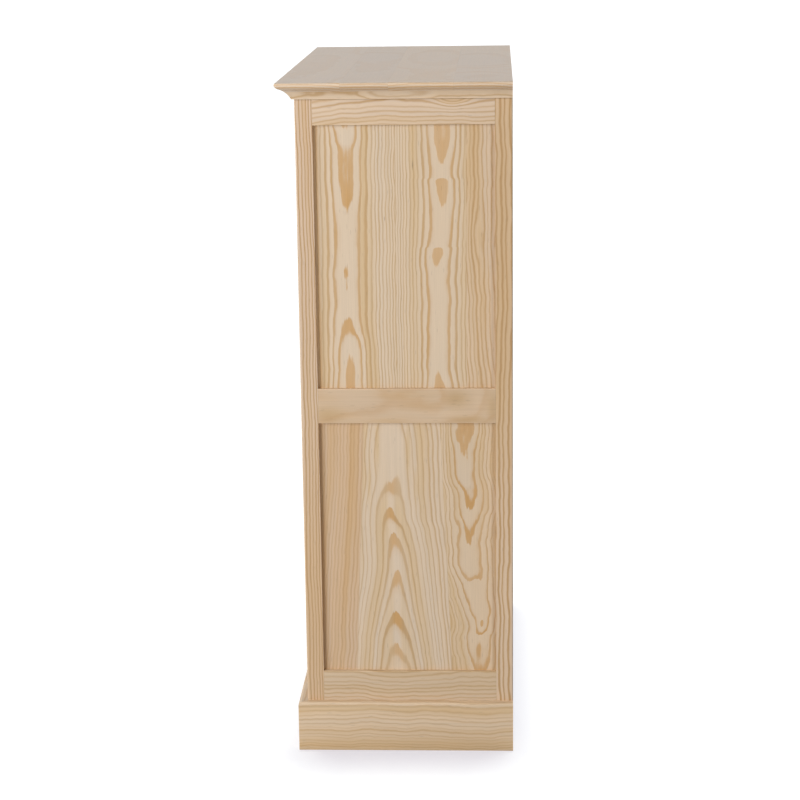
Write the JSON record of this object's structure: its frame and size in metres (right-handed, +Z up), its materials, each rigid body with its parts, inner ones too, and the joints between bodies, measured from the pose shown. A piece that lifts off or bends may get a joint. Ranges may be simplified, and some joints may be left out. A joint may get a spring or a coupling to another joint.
{
  "type": "trastero cabinet",
  "caption": "Free-standing pine cupboard with framed and panelled sides, two tall panelled doors, a moulded top and a plinth.",
  "frame": {"origin": "on the floor, under the middle of the top board", "axes": "+Z up, the front faces -Y, +X to the right of someone who faces the front from -Y"},
  "size_m": [1.01, 0.455, 1.36],
  "materials": {
    "pine_frame": "bare sanded pine, straight grain",
    "pine_panel": "bare sanded pine, flat-sawn grain",
    "pine_moulding": "bare sanded pine, grain along the run",
    "pine_top": "bare sanded pine, grain along the front",
    "pine_inner": "bare sanded pine boards",
    "pine_knob": "turned bare pine",
    "back_plywood": "bare pine plywood",
    "hinge_brass": "satin brass",
    "zinc_steel": "zinc-plated steel",
    "catch_plastic": "brown moulded plastic"
  },
  "bodies": {
    "cabinet": {"back_panel_lower": "back_plywood", "back_panel_upper": "back_plywood", "bottom_board": "pine_inner", "cove_front": "pine_moulding", "cove_left": "pine_moulding", "cove_right": "pine_moulding", "front_bottom_rail": "pine_frame", "front_post_left": "pine_frame", "front_post_right": "pine_frame", "front_top_rail": "pine_frame", "hinge_pins": "hinge_brass", "lower_loose_shelf": "pine_inner", "magnetic_catches": "catch_plastic", "middle_shelf": "pine_inner", "plinth_front": "pine_moulding", "plinth_left": "pine_moulding", "plinth_right": "pine_moulding", "post_hinge_leaves": "hinge_brass", "rear_bottom_rail": "pine_frame", "rear_middle_rail": "pine_frame", "rear_post_left": "pine_frame", "rear_post_right": "pine_frame", "rear_top_rail": "pine_frame", "shelf_cleats": "pine_inner", "side_bottom_rail_left": "pine_frame", "side_bottom_rail_right": "pine_frame", "side_lower_panel_left": "pine_panel", "side_lower_panel_right": "pine_panel", "side_middle_rail_left": "pine_frame", "side_middle_rail_right": "pine_frame", "side_top_rail_left": "pine_frame", "side_top_rail_right": "pine_frame", "side_upper_panel_left": "pine_panel", "side_upper_panel_right": "pine_panel", "top_board": "pine_top", "top_fixing_blocks": "pine_inner", "upper_loose_shelf": "pine_inner"},
    "left_door": {"left_door_bottom_rail": "pine_frame", "left_door_hinge_leaves": "hinge_brass", "left_door_hinge_stile": "pine_frame", "left_door_knob": "pine_knob", "left_door_knob_screw": "zinc_steel", "left_door_lower_panel": "pine_panel", "left_door_meeting_stile": "pine_frame", "left_door_middle_rail": "pine_frame", "left_door_strike_plate": "zinc_steel", "left_door_top_rail": "pine_frame", "left_door_upper_panel": "pine_panel"},
    "right_door": {"right_door_bottom_rail": "pine_frame", "right_door_hinge_leaves": "hinge_brass", "right_door_hinge_stile": "pine_frame", "right_door_knob": "pine_knob", "right_door_knob_screw": "zinc_steel", "right_door_lower_panel": "pine_panel", "right_door_meeting_stile": "pine_frame", "right_door_middle_rail": "pine_frame", "right_door_strike_plate": "zinc_steel", "right_door_top_rail": "pine_frame", "right_door_upper_panel": "pine_panel"}
  },
  "joints": [
    {"name": "left_door_hinge", "type": "hinge", "parent": "cabinet", "child": "left_door", "pos_m": [-0.435, -0.1929, 0.7205], "axis": [0, 0, -1], "range_deg": [0, 175]},
    {"name": "right_door_hinge", "type": "hinge", "parent": "cabinet", "child": "right_door", "pos_m": [0.435, -0.1929, 0.7205], "axis": [0, 0, 1], "range_deg": [0, 175]}
  ]
}
